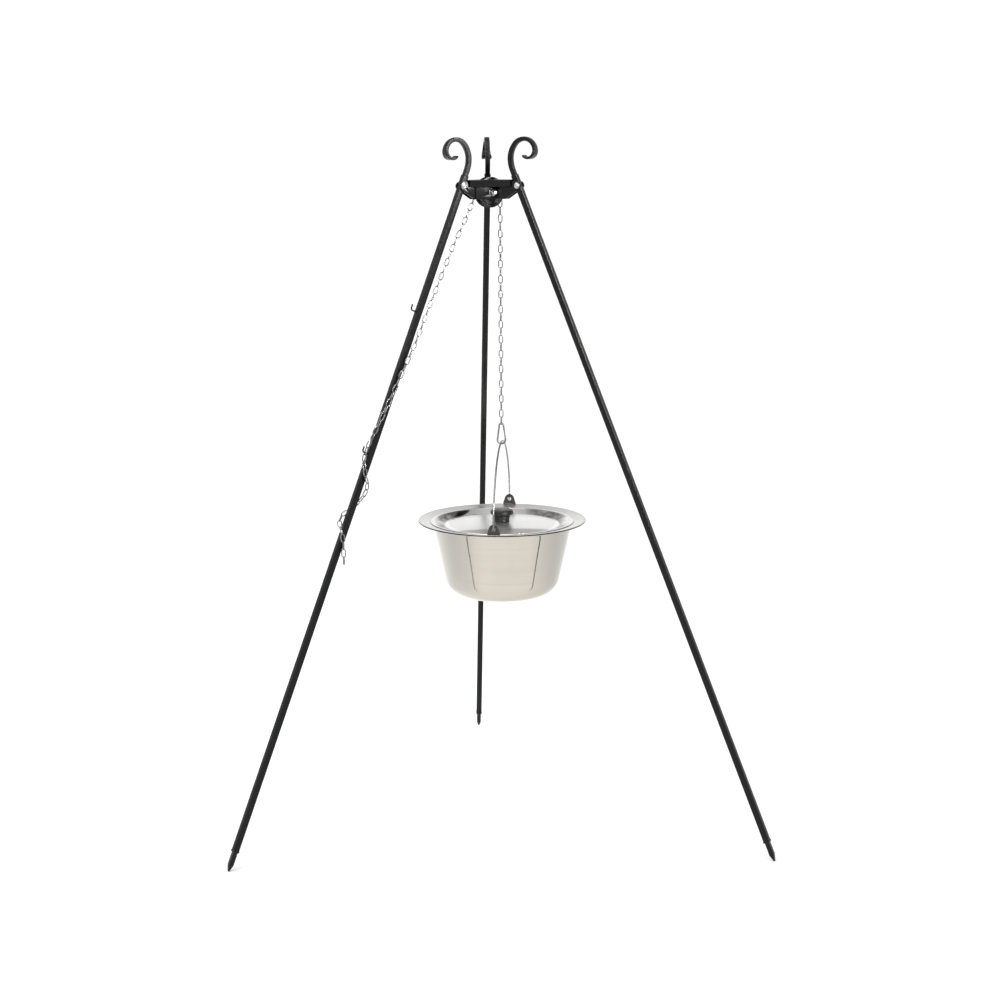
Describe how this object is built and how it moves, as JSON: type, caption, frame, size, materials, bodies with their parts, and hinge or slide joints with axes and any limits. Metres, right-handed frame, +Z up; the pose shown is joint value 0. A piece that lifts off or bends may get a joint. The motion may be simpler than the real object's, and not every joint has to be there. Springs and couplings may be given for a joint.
{
  "type": "campfire tripod with pot",
  "caption": "Folding three-legged campfire stand with scrolled leg tops, a chain over a roller in the hub and a lidded round pot hanging from a carabiner.",
  "frame": {"origin": "on the ground, straight below the middle of the hub, level with the tips of the three spikes", "axes": "+Z up; -Y is the front, with the rear leg at +Y; +X to the right seen from the front"},
  "size_m": [1.3724, 1.1908, 1.8007],
  "materials": {
    "black_powder_coat": "semi-gloss",
    "zinc_plate": "bright zinc",
    "polished_stainless": "polished",
    "bright_wire": "polished",
    "black_lug": "satin",
    "black_plastic": "gloss"
  },
  "bodies": {
    "hub": {"cap_plate": "black_powder_coat", "left_arm": "black_powder_coat", "right_arm": "black_powder_coat", "rear_arm": "black_powder_coat", "roller_cheeks": "black_powder_coat", "left_pivot_bolt": "zinc_plate", "left_pivot_nut": "zinc_plate", "left_pivot_washers": "zinc_plate", "right_pivot_bolt": "zinc_plate", "right_pivot_nut": "zinc_plate", "right_pivot_washers": "zinc_plate", "rear_pivot_bolt": "zinc_plate", "rear_pivot_nut": "zinc_plate", "rear_pivot_washers": "zinc_plate", "roller_bolt": "zinc_plate", "roller_nut": "zinc_plate", "roller_washers": "zinc_plate", "roller_chain": "zinc_plate", "tail_chain": "zinc_plate"},
    "left_leg": {"left_leg_tube": "black_powder_coat", "left_spike": "black_powder_coat", "left_scroll": "black_powder_coat", "upper_hook": "black_powder_coat", "lower_hook": "black_powder_coat", "free_chain_end": "zinc_plate"},
    "right_leg": {"right_leg_tube": "black_powder_coat", "right_spike": "black_powder_coat", "right_scroll": "black_powder_coat"},
    "rear_leg": {"rear_leg_tube": "black_powder_coat", "rear_spike": "black_powder_coat", "rear_scroll": "black_powder_coat"},
    "roller": {"chain_roller": "black_powder_coat"},
    "swinging_chain": {"hanging_chain_upper": "zinc_plate"},
    "pot_hanger": {"hanging_chain_lower": "zinc_plate", "carabiner_body": "zinc_plate", "gate_rivet": "zinc_plate", "bail_wire": "bright_wire"},
    "snap_gate": {"carabiner_gate": "zinc_plate"},
    "pot": {"pot_shell": "polished_stainless", "front_lug": "black_lug", "rear_lug": "black_lug"},
    "lid": {"lid_shell": "polished_stainless", "lid_knob": "black_plastic", "knob_screw": "zinc_plate", "knob_washer": "zinc_plate"}
  },
  "joints": [
    {"name": "left_leg_fold", "type": "hinge", "parent": "hub", "child": "left_leg", "pos_m": [-0.07275, -0.042, 1.678], "axis": [-0.5, 0.866, 0], "range_deg": [-12, 0], "deforming": ["tail_chain"]},
    {"name": "right_leg_fold", "type": "hinge", "parent": "hub", "child": "right_leg", "pos_m": [0.07275, -0.042, 1.678], "axis": [-0.5, -0.866, 0], "range_deg": [-9.5, 0]},
    {"name": "rear_leg_fold", "type": "hinge", "parent": "hub", "child": "rear_leg", "pos_m": [0, 0.084, 1.678], "axis": [1, 0, 0], "range_deg": [-9.5, 0]},
    {"name": "roller_spin", "type": "hinge", "parent": "hub", "child": "roller", "pos_m": [0, 0, 1.661], "axis": [0.5, -0.866, 0], "range_deg": [0, 540]},
    {"name": "chain_swing", "type": "hinge", "parent": "hub", "child": "swinging_chain", "pos_m": [0.02901, 0.01675, 1.661], "axis": [-0.5, 0.866, 0], "range_deg": [-4, 4]},
    {"name": "pot_lift", "type": "slide", "parent": "swinging_chain", "child": "pot_hanger", "axis": [0, 0, 1], "range_m": [0, 0.312], "deforming": ["hanging_chain_upper"]},
    {"name": "gate_open", "type": "hinge", "parent": "pot_hanger", "child": "snap_gate", "pos_m": [0.03545, 0.01573, 1.0465], "axis": [0.1564, 0.9877, 0], "range_deg": [0, 20], "stiffness_Nm_per_rad": 0.01, "springref_deg": -17.19},
    {"name": "pot_tilt", "type": "hinge", "parent": "pot_hanger", "child": "pot", "pos_m": [0.02901, 0.01675, 0.8185], "axis": [0.1564, 0.9877, 0], "range_deg": [-12, 12]},
    {"name": "lid_lift", "type": "slide", "parent": "pot", "child": "lid", "axis": [0, 0, 1], "range_m": [0, 0.06]}
  ],
  "couplings": [
    {"joint": "roller_spin", "follows": "pot_lift", "rad_per_m": 29.851}
  ]
}
